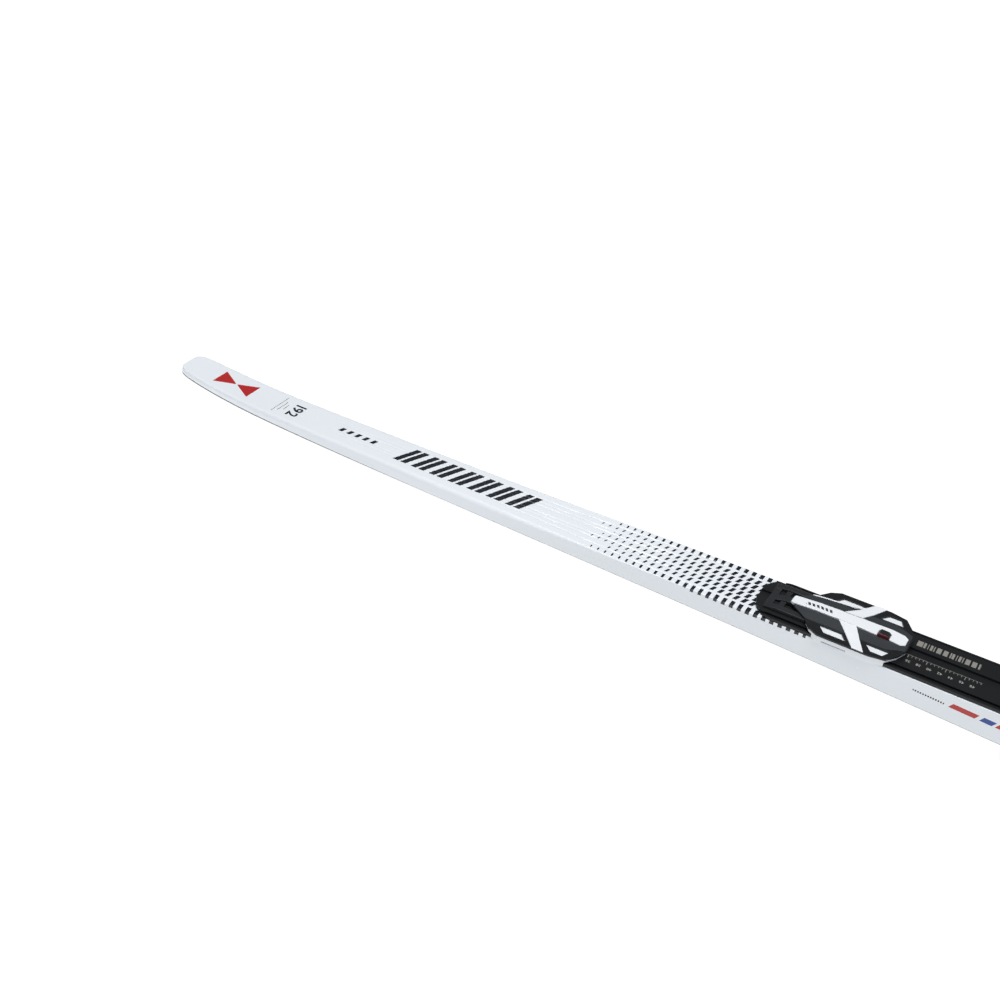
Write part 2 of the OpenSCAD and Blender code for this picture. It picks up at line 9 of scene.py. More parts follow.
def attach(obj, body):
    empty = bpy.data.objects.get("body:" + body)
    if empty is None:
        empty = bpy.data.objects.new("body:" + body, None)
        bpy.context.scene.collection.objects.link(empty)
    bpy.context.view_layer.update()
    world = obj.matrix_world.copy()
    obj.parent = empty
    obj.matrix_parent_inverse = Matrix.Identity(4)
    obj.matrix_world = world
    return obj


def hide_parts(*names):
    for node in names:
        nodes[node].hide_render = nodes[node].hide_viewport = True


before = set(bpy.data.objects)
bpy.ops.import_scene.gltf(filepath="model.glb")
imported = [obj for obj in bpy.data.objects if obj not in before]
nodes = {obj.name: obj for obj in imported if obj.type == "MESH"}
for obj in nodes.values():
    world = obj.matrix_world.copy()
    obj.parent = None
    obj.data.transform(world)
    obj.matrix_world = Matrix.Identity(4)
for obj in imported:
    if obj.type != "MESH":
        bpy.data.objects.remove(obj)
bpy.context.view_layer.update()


# ---- Camera ----
# It stands beside the toe unit, above the right edge, and looks back towards the tail.
# It is rolled a little, so its three axes are given rather than a target.
def look_from(place, right, down, forward, lens):
    """A camera placed in metres, whose axes come from its right, down and forward directions."""
    data = bpy.data.cameras.new("view")
    data.lens, data.sensor_width = lens, 36
    data.clip_start, data.clip_end = 0.01, 50
    camera = bpy.data.objects.new("view", data)
    bpy.context.scene.collection.objects.link(camera)
    axes = Vector(right), -Vector(down), -Vector(forward)
    turn = Matrix([axis.normalized() for axis in axes]).transposed()
    camera.matrix_world = Matrix.Translation(place) @ turn.to_4x4()
    bpy.context.scene.camera = camera


look_from((-0.22463, -0.59448, 0.58623), (0.82695, 0.56129, 0.03316),
          (0.37601, -0.50819, -0.77482), (-0.41805, 0.65321, -0.63130), 40.25)


# ---- Studio ----
# A white glowing floor just under the ski, and a dim even sky.
# A large soft box hangs overhead, and a weaker one stands on the near side.
class Wire:
    """A shader socket that does sums: each operator on it adds one Math node to its material."""

    def __init__(self, tree, socket):
        self.tree, self.socket = tree, socket

    def math(self, operation, *others):
        """The result of a Math node on this socket and the others."""
        node = self.tree.nodes.new("ShaderNodeMath")
        node.operation = operation
        for place, value in zip(node.inputs, (self, *others)):
            join(self.tree, value, place)
        return Wire(self.tree, node.outputs[0])

    def __add__(self, other): return self.math("ADD", other)
    def __sub__(self, other): return self.math("SUBTRACT", other)
    def __mul__(self, other): return self.math("MULTIPLY", other)
    def __rsub__(self, other): return (self * -1).math("ADD", other)
    def __gt__(self, other): return self.math("GREATER_THAN", other)
    def __lt__(self, other): return self.math("LESS_THAN", other)
    def __mod__(self, other): return self.math("FLOORED_MODULO", other)
    def __abs__(self): return self.math("ABSOLUTE")
    __radd__, __rmul__ = __add__, __mul__

    def within(self, low, high):
        """1 between the two values and 0 outside them."""
        return (self > low) * (self < high)


def join(tree, value, place):
    """Links a Wire to the place, or sets the value there."""
    if isinstance(value, Wire):
        tree.links.new(value.socket, place)
    elif value is not None:
        place.default_value = value


class Finish:
    """A material under one principled shader; node() adds any other node to it."""

    def __init__(self, name, colour, roughness, **settings):
        self.material = bpy.data.materials.new(name)
        self.material.use_nodes = True
        self.tree = self.material.node_tree
        self.shader = self.tree.nodes["Principled BSDF"]
        self.set(Base_Color=(*colour, 1), Roughness=roughness, **settings)
        self.material.diffuse_color = (*colour, 1)

    def set(self, **values):
        """Sets or links the shader's sockets, named with _ for a space."""
        for name, value in values.items():
            join(self.tree, value, self.shader.inputs[name.replace("_", " ")])

    def node(self, kind, output=0, settings=(), **values):
        """A new node's output: its settings are set first, then its sockets' values or links."""
        made = self.tree.nodes.new("ShaderNode" + kind)
        for name, value in dict(settings).items():
            setattr(made, name, value)
        for name, value in values.items():
            join(self.tree, value, made.inputs[name.replace("_", " ")])
        return Wire(self.tree, made.outputs[output])

    def place(self):
        """The X, Y and Z of the point on the piece, in millimetres, with X from the tail end."""
        if not hasattr(self, "axes"):
            at = self.node("TexCoord", "Object")
            split = self.tree.nodes.new("ShaderNodeSeparateXYZ")
            join(self.tree, at, split.inputs[0])
            x, y, z = (Wire(self.tree, out) * 1000 for out in split.outputs)
            self.axes = (x + HALF_LENGTH, y, z)
        return self.axes

    def noise(self, scale, stretch=(1, 1, 1), detail=3):
        """Noise of so many waves a metre, drawn out along the axes whose stretch is small."""
        at = self.node("Mapping", Vector=self.node("TexCoord", "Object"), Scale=stretch)
        return self.node("TexNoise", 0, Vector=at, Scale=scale, Detail=detail)

    def mix(self, share, one, other):
        """One colour where the share is 0, the other where it is 1, and blends between."""
        made = self.tree.nodes.new("ShaderNodeMix")
        made.data_type = "RGBA"
        for place, value in zip((made.inputs[0], made.inputs[6], made.inputs[7]),
                                (share, one, other)):
            if not isinstance(value, (Wire, float, int)):
                value = (*value[:3], 1)
            join(self.tree, value, place)
        return Wire(self.tree, made.outputs[2])

    def bump(self, height, distance, strength=1.0):
        self.set(Normal=self.node("Bump", Height=height, Distance=distance, Strength=strength))


# The frame's origin lies this far ahead of the tail end, in millimetres.
HALF_LENGTH = 960


def soft_box(name, place, target, size, watts, colour=(1, 1, 1)):
    """A rectangular lamp turned to its target, with its sides in metres."""
    data = bpy.data.lights.new(name, "AREA")
    data.shape, data.size, data.size_y = "RECTANGLE", *size
    data.energy, data.color = watts, colour
    lamp = bpy.data.objects.new(name, data)
    bpy.context.scene.collection.objects.link(lamp)
    lamp.location = place
    lamp.rotation_euler = (Vector(target) - Vector(place)).to_track_quat("-Z", "Y").to_euler()


def studio():
    """Sky, lamps, and a flat square floor 60 m wide that lies 0.6 mm below the ski."""
    bpy.context.scene.view_settings.view_transform = "Standard"
    world = bpy.data.worlds.new("sky")
    bpy.context.scene.world = world
    world.use_nodes = True
    sky = world.node_tree.nodes["Background"]
    sky.inputs["Color"].default_value = (0.86, 0.94, 1.0, 1)
    sky.inputs["Strength"].default_value = 0.13
    soft_box("soft_box_above", (-0.35, -0.1, 2.5), (-0.3, 0, 0), (3.2, 1.2), 71)
    soft_box("soft_box_front", (-0.5, -2.6, 1.2), (-0.3, 0, 0), (3.4, 0.9), 15.5, (0.86, 0.94, 1))
    grid = np.linspace(-30, 30, 9)
    x, y = np.meshgrid(grid, grid)
    floor = surface("floor", np.stack([x, y, np.full_like(x, -0.0006)], -1), close=False)
    pale = Finish("floor_paint", (0.08, 0.08, 0.08), 0.9, Specular_IOR_Level=0.05,
                  Emission_Color=(1, 1, 1, 1), Emission_Strength=1.0)
    floor.data.materials.append(pale.material)


def surface(name, grid, close=True, ends=False):
    """A mesh from a grid of points [row, column, xyz] in metres, a face to each four neighbours.
    close joins the last column to the first, and ends puts one face on the first and last row."""
    rows, columns = grid.shape[:2]
    index = np.arange(rows * columns).reshape(rows, columns)
    across = np.roll(index, -1, axis=1) if close else index[:, 1:]
    first = index if close else index[:, :-1]
    faces = np.stack([first[:-1], across[:-1], across[1:], first[1:]], -1).reshape(-1, 4).tolist()
    if ends:
        faces += [index[0, ::-1].tolist(), index[-1].tolist()]
    mesh = bpy.data.meshes.new(name)
    mesh.from_pydata(grid.reshape(-1, 3).tolist(), [], faces)
    mesh.validate()
    obj = bpy.data.objects.new(name, mesh)
    bpy.context.scene.collection.objects.link(obj)
    return obj


studio()


# ---- Running base ----
# The black sintered base runs the whole length with one shallow round groove down its middle.
# It is cut from sheet, glued under the lower laminate and stone-ground with fine lines along it.

# Sizes are in millimetres and places are from the tail end: the tail's rise ends and the tip's
# starts, which takes its own length; the plate starts, its slope ends at the knee, and it ends.
LENGTH = 2 * HALF_LENGTH
TAIL_BEND, TIP_START, TIP_BEND = 107, 1715, 205
PLATE_START, KNEE, PLATE_END = 572, 772, 987
BASE_THICKNESS = 1.3
# Places, and the whole width there.
WIDTHS = [(0, 21), (1.2, 25), (4, 29), (10, 32.4), (25, 35.6), (60, 38.8), (130, 41.2),
          (300, 43.6), (560, 44.2), (1000, 44.2), (1500, 43.6), (1715, 42.6), (1805, 38),
          (1860, 31.6), (1890, 26.6), (1908, 19.6), (1917, 11), (LENGTH, 5)]


def smooth(points, x):
    """A curve through points: cubic Hermite pieces whose slopes join each point's neighbours."""
    at, value = np.array(points, float).T
    before, after = np.r_[0, :len(at) - 1], np.r_[1:len(at), len(at) - 1]
    slopes = (value[after] - value[before]) / (at[after] - at[before])
    i = np.clip(np.searchsorted(at, x, side="right") - 1, 0, len(at) - 2)
    h = at[i + 1] - at[i]
    t = (x - at[i]) / h
    return ((2 * t**3 - 3 * t**2 + 1) * value[i] + (t**3 - 2 * t**2 + t) * h * slopes[i]
            + (3 * t**2 - 2 * t**3) * value[i + 1] + (t**3 - t**2) * h * slopes[i + 1])


def base_height(x):
    """The arch (1 - u^2)^1.6 between the two contact points, where u runs from -1 to 1, with a
    square rise at the tail and a rise to the power 2.1 at the tip."""
    u = (x - (TAIL_BEND + TIP_START) / 2) / ((TIP_START - TAIL_BEND) / 2)
    arch = 18.7 * np.clip(1 - u**2, 0, 1) ** 1.6
    tail = 5.2 * np.clip((TAIL_BEND - x) / TAIL_BEND, 0, 1) ** 2
    tip = 34 * np.clip((x - TIP_START) / TIP_BEND, 0, 1) ** 2.1
    return arch + tail + tip


def stations(step):
    """Places along the ski: even steps, and finer ones where the outline turns in at the ends."""
    near = np.array([0, 0.4, 1.2, 2.6, 4.4, 7, 11, 17, 26])
    return np.unique(np.r_[near, np.arange(32, LENGTH - 30, step), PLATE_START - 4, KNEE,
                           PLATE_END + 6, LENGTH - near])


def running_base():
    """Each section is the bottom from side to side, a half-cosine groove 1.8 mm to each side of
    the middle and 0.8 deep, and a flat top. The lower corners are bevelled, by 0.25 mm at the
    tail and 1.5 mm from 300 mm on, and the bevel is 0.7 times as high as it is wide."""
    x = stations(8)[:, None]
    side = smooth(WIDTHS, x) / 2
    bevel = 0.25 + 1.25 * np.clip((x - 90) / 210, 0, 1)
    across = np.r_[np.linspace(-1, -0.1, 10), np.linspace(-0.082, 0.082, 13),
                   np.linspace(0.1, 1, 10)]
    bottom_y = (side - bevel) * across
    fade = np.clip((1880 - x) / 40, 0, 1) * np.clip((x - 12) / 30, 0, 1)
    from_middle = np.clip(np.abs(bottom_y) / 1.8, 0, 1)
    groove = 0.4 * (1 + np.cos(np.pi * from_middle)) * fade
    foot, top = 0.7 * bevel, np.full_like(side, BASE_THICKNESS)
    row_y = np.hstack([bottom_y, side, side, -side, -side])
    row_z = np.hstack([groove, foot, top, top, foot]) + base_height(x)
    row_x = np.repeat(x - HALF_LENGTH, row_y.shape[1], 1)
    return surface("running_base", np.stack([row_x, row_y, row_z], -1) / 1000, ends=True)


def outward(obj, angle=35):
    """Turns the faces outwards, and shades the piece smooth but for edges over the angle."""
    work = bmesh.new()
    work.from_mesh(obj.data)
    bmesh.ops.recalc_face_normals(work, faces=work.faces)
    work.to_mesh(obj.data)
    work.free()
    obj.data.polygons.foreach_set("use_smooth", [True] * len(obj.data.polygons))
    obj.data.set_sharp_from_angle(angle=math.radians(angle))


base = running_base()
outward(base)
sintered = Finish("sintered_base", (0.014, 0.016, 0.019), 0.36, Specular_IOR_Level=0.45)
lines = sintered.noise(900, (0.02, 1, 1), 4)
cloud = sintered.noise(22, (0.4, 1, 1), 2)
sintered.set(Base_Color=sintered.mix(lines, (0.010, 0.012, 0.015), (0.024, 0.027, 0.032)),
             Roughness=lines * 0.16 + cloud * 0.1 + 0.26)
sintered.bump(lines, 0.00012, 0.5)
base.data.materials.append(sintered.material)
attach(base, "ski")
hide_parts("base_sheet")


# ---- Laminates, core and end fillers ----
# Carbon cloth above and below a light core, with hard plastic blocks moulded in at tail and tip.
# They are pressed together under the top sheet, and only their cut ends show.
def on_cad(finish, *names):
    """Gives the finish to CAD solids that show as they are."""
    for name in names:
        nodes[name].data.materials.clear()
        nodes[name].data.materials.append(finish.material)


carbon = Finish("carbon_laminate", (0.03, 0.031, 0.034), 0.38, Coat_Weight=0.3)
x, y, _ = carbon.place()
twill = ((x + y) % 2.0 > 1.0) * ((x - y) % 2.0 > 1.0)
carbon.set(Base_Color=carbon.mix(twill, (0.018, 0.019, 0.021), (0.062, 0.064, 0.07)))
on_cad(carbon, "lower_laminate", "upper_laminate")

foam = Finish("core_foam", (0.75, 0.66, 0.47), 0.85)
grain = foam.noise(420, (0.08, 1, 1), 4)
foam.set(Base_Color=foam.mix(grain, (0.62, 0.52, 0.34), (0.82, 0.74, 0.56)))
foam.bump(grain, 0.0002)
on_cad(foam, "core")

filler = Finish("end_filler", (0.075, 0.077, 0.082), 0.55)
filler.set(Roughness=filler.noise(700) * 0.25 + 0.42)
on_cad(filler, "tail_filler", "tip_filler")


# ---- Top sheet ----
# A printed glossy white film, pressed over the laminate as a cap from base to base.
# Three pairs of fine creases are moulded in ahead of the tail, and the prints lie in the gloss.

# Places, and there: thickness over the base's underside behind and ahead of the plate, how far the
# side leans in, and the radius of its upper edge.
THICKNESS = [(0, 5.4), (80, 6.4), (200, 9.4), (350, 12.3), (470, 15.2), (568, 18.6)]
FRONT_THICKNESS = [(993, 25.6), (1100, 24), (1250, 20.3), (1400, 15.8), (1550, 11.6),
                   (1715, 8), (1815, 6.4), (LENGTH, 5.2)]
LEANS = [(0, 1.2), (60, 2.2), (200, 2.4), (400, 1.4), (520, 0.6), (1100, 0.6), (1300, 1.4),
         (1600, 2.4), (LENGTH, 1.2)]
CRESTS = [(0, 2.4), (350, 3.4), (460, 1.2), (540, 0.6), (1100, 0.6), (1300, 2), (1550, 3.4),
          (LENGTH, 2)]
SHEET = 0.6
# Under the plate the top is straight: level at this height ahead of the knee, sloping behind it.
DECK, SLOPE = 43.9, math.radians(3.3)
SIDE_POINTS, EDGE_POINTS = 4, 7


def top_height(x):
    """Base plus thickness behind and ahead of the plate, and two straight stretches under it."""
    rear = base_height(x) + smooth(THICKNESS, np.minimum(x, 568))
    front = base_height(x) + smooth(FRONT_THICKNESS, np.maximum(x, 993))
    ramp = DECK - np.maximum(KNEE - x, 0) * math.tan(SLOPE)
    return np.where(x < PLATE_START - 4, rear, np.where(x <= PLATE_END + 6, ramp, front))


def half_cap(x, depth, across, turns):
    """From the foot on the base up a leaning side, round a quarter circle, and across to the
    middle, all of it the depth inside the outer skin. Returns y and z, a column to each point."""
    column = x[:, None]
    half, lean = smooth(WIDTHS, column) / 2, smooth(LEANS, column)
    foot, top = base_height(column) + BASE_THICKNESS, top_height(column) - depth
    radius = np.minimum(smooth(CRESTS, column), 0.6 * (top - foot))
    radius = np.maximum(radius - depth, 0.15)
    edge = half - lean - depth - radius
    rise = np.linspace(0, 1, SIDE_POINTS + 1)[:-1]
    side_y = (half - depth) * (1 - rise) + (edge + radius) * rise
    side_z = foot * (1 - rise) + (top - radius) * rise
    turn = np.linspace(0, np.pi / 2, turns)
    arc_y, arc_z = edge + radius * np.cos(turn), top - radius + radius * np.sin(turn)
    flat = np.linspace(1, 0, across)[1:]
    return (np.hstack([side_y, arc_y, edge * flat]),
            np.hstack([side_z, arc_z, np.repeat(top, len(flat), 1)]))


def crease(x, y):
    """How deep the moulded creases are: one pair 3.8 mm and one 7.4 mm from the middle, and an
    outer pair that spreads from 9.6 to 17 mm on the way to the plate."""
    def valley(distance, width):
        """(1 - distance over width) squared, and 0 beyond the width."""
        return np.clip(1 - np.abs(distance) / width, 0, 1) ** 2

    away = np.abs(y)
    inner = np.clip((x - 165) / 40, 0, 1) * np.clip((560 - x) / 60, 0, 1)
    outer = np.clip((x - 230) / 60, 0, 1) * np.clip((566 - x) / 30, 0, 1)
    spread = 9.6 + 7.4 * np.clip((x - 300) / 230, 0, 1) ** 1.4
    return (0.38 * inner * valley(away - 3.8, 0.9) + 0.32 * inner * valley(away - 7.4, 0.9)
            + 0.4 * outer * valley(away - spread, 0.9))


def top_sheet():
    """A closed ring at each station: the outer cap from right to left, then the inner one back."""
    x = stations(5)
    outer_y, outer_z = half_cap(x, 0, 43, EDGE_POINTS)
    inner_y, inner_z = half_cap(x, SHEET, 5, 4)
    is_flat = np.arange(outer_y.shape[1]) >= SIDE_POINTS + EDGE_POINTS
    outer_z = outer_z - crease(x[:, None], outer_y) * is_flat
    ring_y = np.hstack([-outer_y, outer_y[:, -2::-1], inner_y, -inner_y[:, -2::-1]])
    ring_z = np.hstack([outer_z, outer_z[:, -2::-1], inner_z, inner_z[:, -2::-1]])
    ring_x = np.repeat(x[:, None] - HALF_LENGTH, ring_y.shape[1], 1)
    return surface("top_sheet", np.stack([ring_x, ring_y, ring_z], -1) / 1000, ends=True)


def corners(mesh):
    """The mesh's points in millimetres, one row of x, y and z for each."""
    points = np.zeros(len(mesh.vertices) * 3)
    mesh.vertices.foreach_get("co", points)
    return points.reshape(-1, 3) * 1000


# The attribute drop is how far a point lies below the sheet's top, in millimetres.
sheet = top_sheet()
points = corners(sheet.data)
drop = sheet.data.attributes.new("drop", "FLOAT", "POINT")
drop.data.foreach_set("value", top_height(points[:, 0] + HALF_LENGTH) - points[:, 2])
outward(sheet, 40)
WHITE, INK = (0.82, 0.85, 0.885), (0.012, 0.014, 0.02)
RED, BLUE = (0.46, 0.018, 0.018), (0.012, 0.05, 0.28)
gloss = Finish("top_film", WHITE, 0.22, Coat_Weight=0.2, Coat_Roughness=0.08)
x, y, z = gloss.place()
away = abs(y)
below = gloss.node("Attribute", 2, {"attribute_name": "drop"})


def union(*masks):
    """1 where any of the masks is 1."""
    whole = masks[0]
    for mask in masks[1:]:
        whole = whole.math("MAXIMUM", mask)
    return whole


# Rows of small leaning bars, 5.85 mm apart across, that grow towards the plate behind it. Ahead of
# it they grow to a solid band and shrink again, and a red ground runs on to the tip.
PITCH, ROW = 6.15, 5.85
REAR, REAR_GROWN, MIDDLE_END, REAR_END = 430, 580, 592, 623
FRONT, BAND, FRONT_END, RED_START = 985, 1085, 1165, 1020
row = (y * (1 / ROW)).math("ROUND").math("MINIMUM", 3).math("MAXIMUM", -3)
from_row = y - row * ROW
edge_row = abs(row) > 2.5
lean = from_row * 0.42 * (1 - edge_row)
cell = (x - 462.5 - lean + PITCH / 2) % PITCH - PITCH / 2
grown = ((x - REAR) * (1 / (REAR_GROWN - REAR))).math("MINIMUM", 1).math("MAXIMUM", 0)
long_half = grown * 1.2 + 0.42
across_half = (grown * 1.65 + 0.95) * (1 - edge_row) + edge_row * (grown * 5 + 0.6)
bars = (abs(cell) < long_half) * (abs(from_row) < across_half) * (1 - edge_row * (away < 16.3))
start = (row * 2.3).math("SINE") * 9 + 450
rear_bars = bars * (x > start) * (x < REAR_END) * union(x < MIDDLE_END, edge_row)
rear_bars = rear_bars * (below < 2.2)

front_cell = (x - FRONT - lean + PITCH / 2) % PITCH - PITCH / 2
swell = union((x - FRONT) * (1 / 94) * (x < BAND), (FRONT_END - x) * (1 / 74) * (x > BAND))
swell = swell.math("MAXIMUM", 0).math("MINIMUM", 1)
front_bars = (abs(front_cell) < swell * 2.6 + 0.2) * (abs(from_row) < swell * 2.2 + 0.8)
front_bars = front_bars * x.within(FRONT, FRONT_END) * (below < 2.4)
block = x.within(BAND - 6, BAND + 6) * (below < 2.4)
red_ground = (x > RED_START) * (below < 1.6)


def slanted(x_from, x_to, low, high, over=0.55):
    """A bar on the side wall that leans forward: its ends are shifted by its height."""
    shifted = x - (z - (low + high) / 2) * over
    return shifted.within(x_from, x_to) * z.within(low, high)


def broken(along, pitch, solid, gap_from, gap_to):
    """A row of blocks: one to each pitch, solid for so many millimetres but for one gap in it."""
    place = along % pitch
    return (place < solid) * (1 - place.within(gap_from, gap_to))


# On the sides: three short bars, a row of plain leaning blocks, and three short bars again.
wall = away > 20.6
side_red = union(slanted(724, 741, 30.4, 34.6), slanted(754, 762, 30.8, 35),
                 slanted(919, 927, 31.4, 35.6), slanted(938, 956, 31.4, 35.6)) * wall
side_blue = union(slanted(744, 752, 30.6, 34.8), slanted(929, 936, 31.4, 35.6)) * wall
blocks = slanted(774, 910, 28.6, 37.6, 0.5) * wall
blocks = blocks * broken(x - (z - 33) * 0.5 - 774, 19.6, 14.2, 6.2, 8.4)
ticks = x.within(699, 720) * z.within(30.6, 32) * ((x % 1.7) < 1.05) * wall

# On the tail: two red triangles pointing at each other, small dashes across, and leaning blocks.
from_point = abs(x - 60)
arrows = from_point.within(1.2, 21) * (away < from_point * 0.45)
leaning = x - y * 0.48
large_blocks = leaning.within(256, 386) * y.within(-9.5, 11.5)
large_blocks = large_blocks * broken(leaning - 256, 19, 13.6, 5.6, 7.9)
leaning = x - y * 0.4
small_blocks = leaning.within(186, 226) * (away < 2.6) * (((leaning - 186) % 8.8) < 4.2)
dashes = union(x.within(113.6, 114.5) * y.within(-12, 12),
               x.within(117.8, 118.7) * y.within(-8, 6),
               x.within(121.8, 122.7) * y.within(-5, 3)) * ((y % 1.6) < 1)

inked = union(rear_bars, front_bars, block, blocks, ticks, large_blocks, small_blocks, dashes)
red = union(side_red, arrows, red_ground)
mottle = gloss.noise(30, (0.3, 1, 1), 2)
ground = gloss.mix(mottle, (0.80, 0.835, 0.875), (0.835, 0.86, 0.895))
colour = gloss.mix(red, ground, RED)
colour = gloss.mix(side_blue, colour, BLUE)
colour = gloss.mix(inked, colour, INK)
orange_peel = gloss.noise(260, (0.6, 1, 1), 3)
scuffs = gloss.noise(60, (0.05, 1.2, 1.2), 5)
gloss.set(Base_Color=colour, Roughness=orange_peel * 0.1 + scuffs * 0.04 + 0.18)
gloss.bump(orange_peel, 0.00006, 0.35)
sheet.data.materials.append(gloss.material)
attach(sheet, "ski")
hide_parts("topsheet")


# The ski's length in centimetres is printed across the tail, in plain figures.
def figures(text, size):
    """Figures as a flat mesh, centred, with the text's own X and Y."""
    curve = bpy.data.curves.new("figures", "FONT")
    curve.body, curve.size = text, size
    curve.align_x, curve.align_y = "CENTER", "CENTER"
    curve.resolution_u, curve.space_character = 4, 1.12
    curve.offset = size * 0.022
    holder = bpy.data.objects.new("figures", curve)
    mesh = bpy.data.meshes.new_from_object(holder)
    bpy.data.objects.remove(holder)
    return mesh


def merged(name, meshes):
    """One piece made of several meshes."""
    work = bmesh.new()
    for mesh in meshes:
        work.from_mesh(mesh)
    whole = bpy.data.meshes.new(name)
    work.to_mesh(whole)
    work.free()
    obj = bpy.data.objects.new(name, whole)
    bpy.context.scene.collection.objects.link(obj)
    return obj


def printed_length():
    """Each figure is stretched to 11.8 mm high and its own width, and laid on the sheet's top,
    134 mm from the tail end."""
    group = []
    for figure, middle, wide in (("1", 6.9, 2), ("9", 1.3, 6.4), ("2", -6.4, 6.4)):
        mesh = figures(figure, 0.016)
        across, up, _ = corners(mesh).T
        across = (across - (across.max() + across.min()) / 2) * wide / np.ptp(across)
        along = 134 + (up - (up.max() + up.min()) / 2) * 11.8 / np.ptp(up)
        at = np.stack([along - HALF_LENGTH, middle - across, top_height(along) + 0.025], 1)
        mesh.vertices.foreach_set("co", (at / 1000).ravel())
        group.append(mesh)
    return merged("length_print", group)


length_print = printed_length()
ink = Finish("print_ink", INK, 0.3, Coat_Weight=0.3, Coat_Roughness=0.08)
ink.set(Roughness=ink.noise(300) * 0.1 + 0.24)
length_print.data.materials.append(ink.material)
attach(length_print, "ski")


# ---- Binding plate ----
# One moulded plate of glass-filled nylon, glued and screwed along the middle of the ski.
# It has two rails with lips, a channel with a rack, and a pale printed scale beside the channel.
def rounded(node, body, finish, edge, segments=2):
    """A merged copy of a CAD solid whose edges are rounded by a radius in millimetres. It rides
    on the body and stands for the solid."""
    mesh = nodes[node].data.copy()
    work = bmesh.new()
    work.from_mesh(mesh)
    bmesh.ops.remove_doubles(work, verts=work.verts, dist=2e-6)
    bmesh.ops.dissolve_limit(work, angle_limit=math.radians(1.2), verts=work.verts,
                             edges=work.edges)
    work.to_mesh(mesh)
    work.free()
    obj = bpy.data.objects.new(node + "_moulded", mesh)
    bpy.context.scene.collection.objects.link(obj)
    mesh.materials.clear()
    mesh.materials.append(finish.material)
    mesh.polygons.foreach_set("use_smooth", [True] * len(mesh.polygons))
    mesh.set_sharp_from_angle(angle=math.radians(32))
    bevel = obj.modifiers.new("edges", "BEVEL")
    bevel.width, bevel.segments = edge / 1000, segments
    bevel.limit_method, bevel.angle_limit = "ANGLE", math.radians(32)
    bevel.use_clamp_overlap, bevel.harden_normals = True, False
    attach(obj, body)
    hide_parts(node)


def moulded(name, colour, roughness, grain=1400, depth=0.00004, spread=0.25, **settings):
    """Moulded plastic: a fine spark-eroded grain with slow changes of gloss and tone."""
    finish = Finish(name, colour, roughness, **settings)
    fine, slow = finish.noise(grain, detail=4), finish.noise(45, detail=2)
    lighter = tuple(min(1, c * (1 + spread)) for c in colour)
    finish.set(Base_Color=finish.mix(slow, colour, lighter),
               Roughness=fine * 0.14 + slow * 0.1 + (roughness - 0.12))
    finish.bump(fine, depth, 0.6)
    return finish


plate_nylon = moulded("plate_nylon", (0.008, 0.0085, 0.01), 0.36, 900, Specular_IOR_Level=0.35)
x, y, z = plate_nylon.place()
above = z - (DECK - (KNEE - x).math("MAXIMUM", 0) * math.tan(SLOPE))
on_top = above > 3.25
# A made-up pattern of bars on one side of the channel, and a scale on the other.
code = x.within(689, 731) * y.within(7.2, 12.6)
code = code * union((x * 0.83).math("SINE") * (x * 2.17).math("SINE") > -0.12, x.within(689, 692))
short_marks = y.within(-6, -4.4) * ((x % 2.5) < 0.35)
long_marks = y.within(-7.4, -4.4) * ((x % 12.5) < 0.4)
scale = x.within(684, 736) * union(y.within(-4.4, -4.15), short_marks, long_marks)
front_scale = x.within(962, 985) * short_marks
printed = union(code * 0.75, union(scale, front_scale) * 0.8) * on_top
PALE_INK = (0.33, 0.32, 0.29)
slow = plate_nylon.noise(60, detail=2)
ground = plate_nylon.mix(slow, (0.007, 0.0075, 0.009), (0.011, 0.0115, 0.013))
plate_nylon.set(Base_Color=plate_nylon.mix(printed, ground, PALE_INK))
rounded("binding_plate", "ski", plate_nylon, 0.25)


def plate_figures():
    """Figures 7 mm apart beside the scale, from 36 to 48 by twos, laid on the plate's slope
    3.4 mm above the ski's top, and read from the ski's left side."""
    group = []
    for k, number in enumerate(range(36, 50, 2)):
        mesh = figures(str(number), 0.003)
        across, up, _ = corners(mesh).T
        along = 689 + 7 * k - across
        top = DECK - (KNEE - along) * math.tan(SLOPE) + 3.4 / math.cos(SLOPE) + 0.02
        at = np.stack([along - HALF_LENGTH, -10.6 - up, top], 1)
        mesh.vertices.foreach_set("co", (at / 1000).ravel())
        group.append(mesh)
    return merged("scale_figures", group)


scale_figures = plate_figures()
pale_ink = Finish("pale_ink", PALE_INK, 0.5)
pale_ink.set(Roughness=pale_ink.noise(400) * 0.2 + 0.4)
scale_figures.data.materials.append(pale_ink.material)
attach(scale_figures, "ski")


# ---- Screws, pins and springs ----
# Zinc-plated steel screws hold the plate down; the pins are plain ground rods, and the springs are
# drawn wire and strip.
def metal(name, colour, roughness, stretch=(1, 1, 1)):
    """Bright metal with fine marks, drawn out along the axis whose stretch is small."""
    finish = Finish(name, colour, roughness, Metallic=1.0)
    drawn = finish.noise(1500, stretch, 3)
    finish.set(Roughness=drawn * 0.2 + (roughness - 0.08),
               Base_Color=finish.mix(drawn, colour, tuple(c * 0.8 for c in colour)))
    finish.bump(drawn, 0.00002, 0.5)
    return finish


zinc = metal("zinc_plate", (0.62, 0.63, 0.66), 0.3)
ground_steel = metal("ground_steel", (0.66, 0.67, 0.69), 0.26, (1, 0.05, 1))
rounded("plate_screws", "ski", zinc, 0.12)
for pin in ("lever_pin", "toe_lock_pin", "heel_pawl_pin"):
    body = "heel_unit" if pin.startswith("heel") else "toe_unit"
    rounded(pin, body, ground_steel, 0.2)
on_cad(ground_steel, "toe_lock_spring", "heel_spring")


